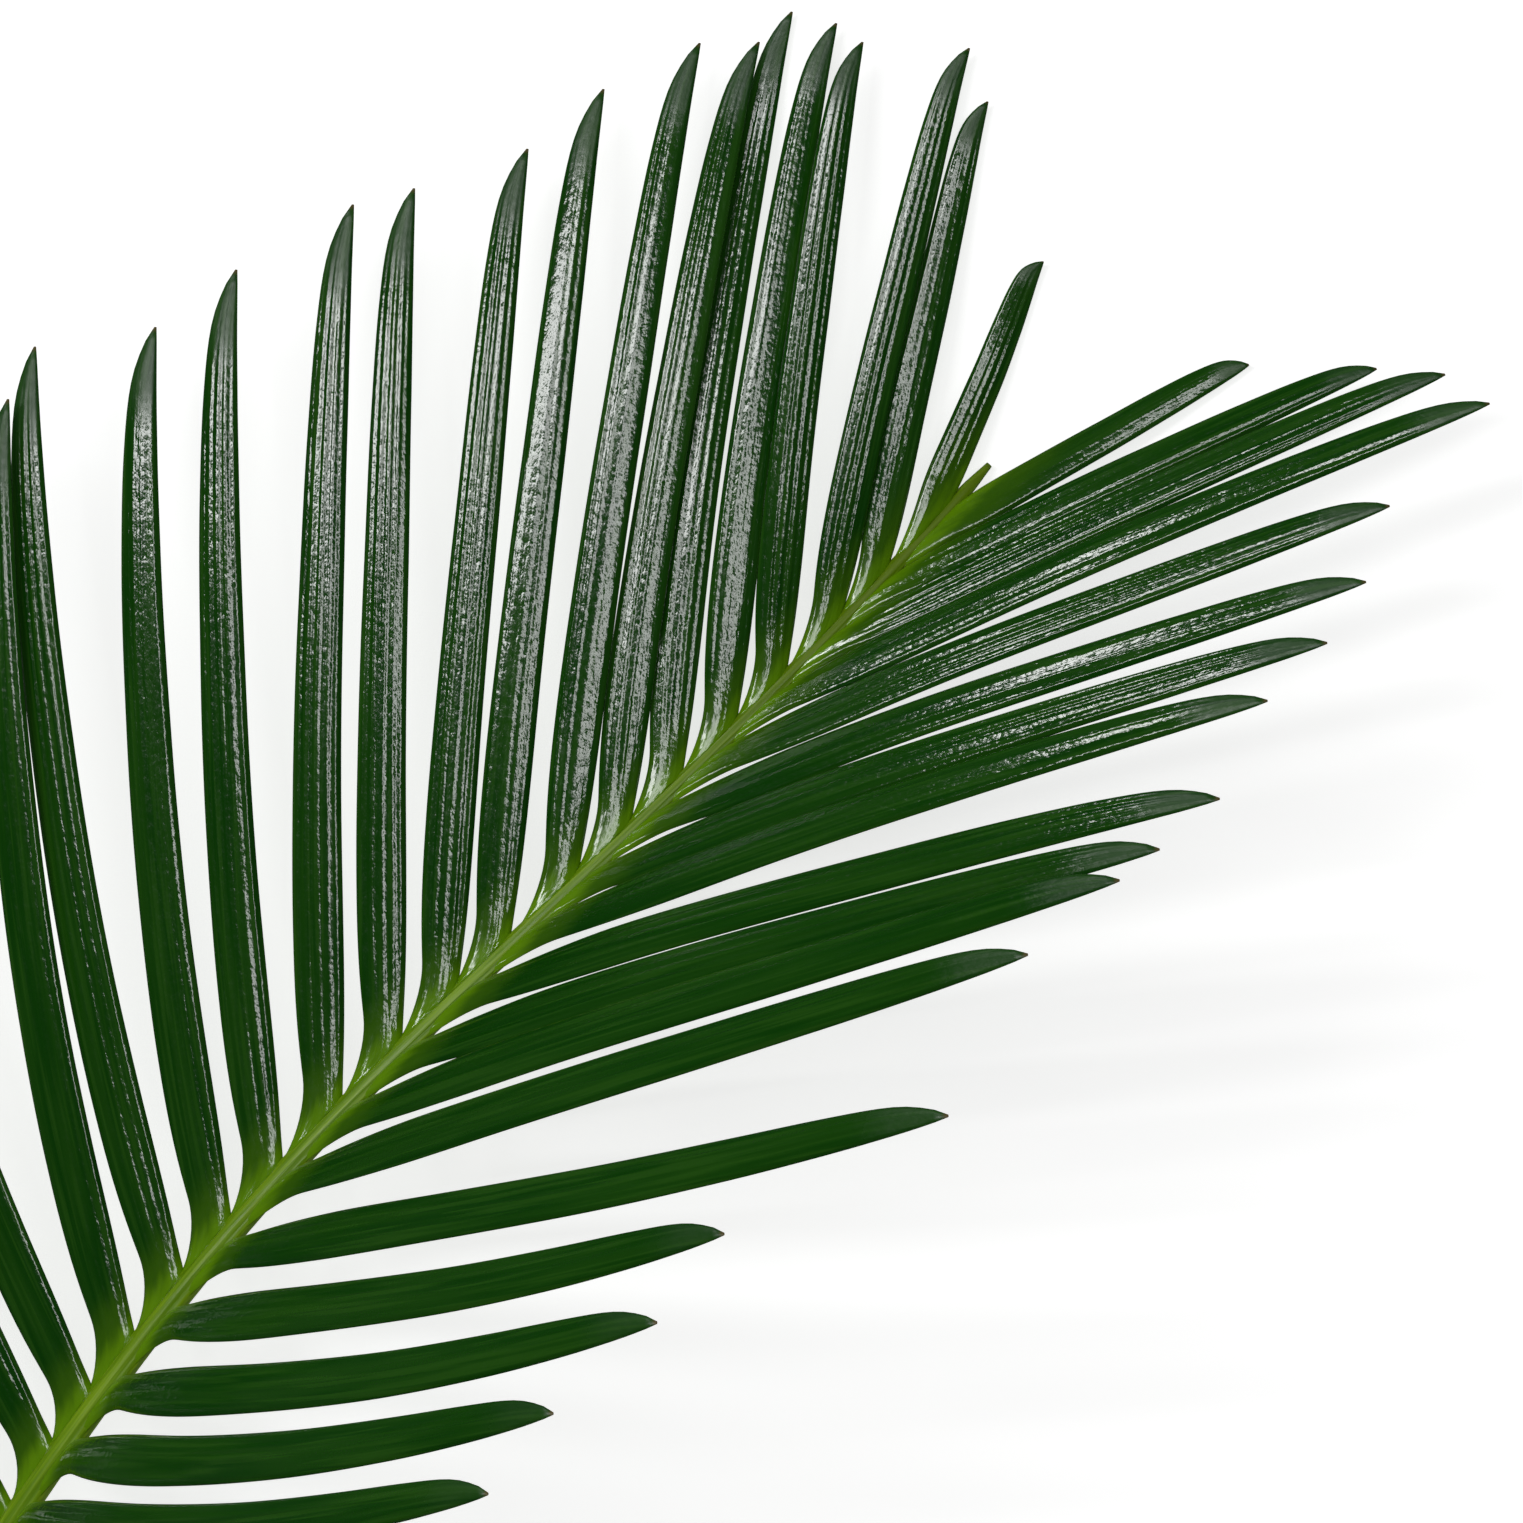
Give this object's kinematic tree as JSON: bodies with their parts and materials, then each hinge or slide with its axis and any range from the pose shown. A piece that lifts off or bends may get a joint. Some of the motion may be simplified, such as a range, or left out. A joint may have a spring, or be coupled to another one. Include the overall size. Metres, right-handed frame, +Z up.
{
  "type": "cycad frond",
  "caption": "Cut cycad frond lying on a table: a keeled feather leaf with narrow glossy leaflets, a yellow-green rachis and a spined petiole.",
  "frame": {"origin": "centre of the frond's box, on the table that it lies on", "axes": "+X from the cut butt towards the tip, +Y to the frond's left, +Z up"},
  "size_m": [0.4582, 0.161, 0.1162],
  "materials": {
    "leaflet": "glossy",
    "rachis": "satin"
  },
  "bodies": {
    "root": {"frond": "leaflet"}
  },
  "joints": []
}
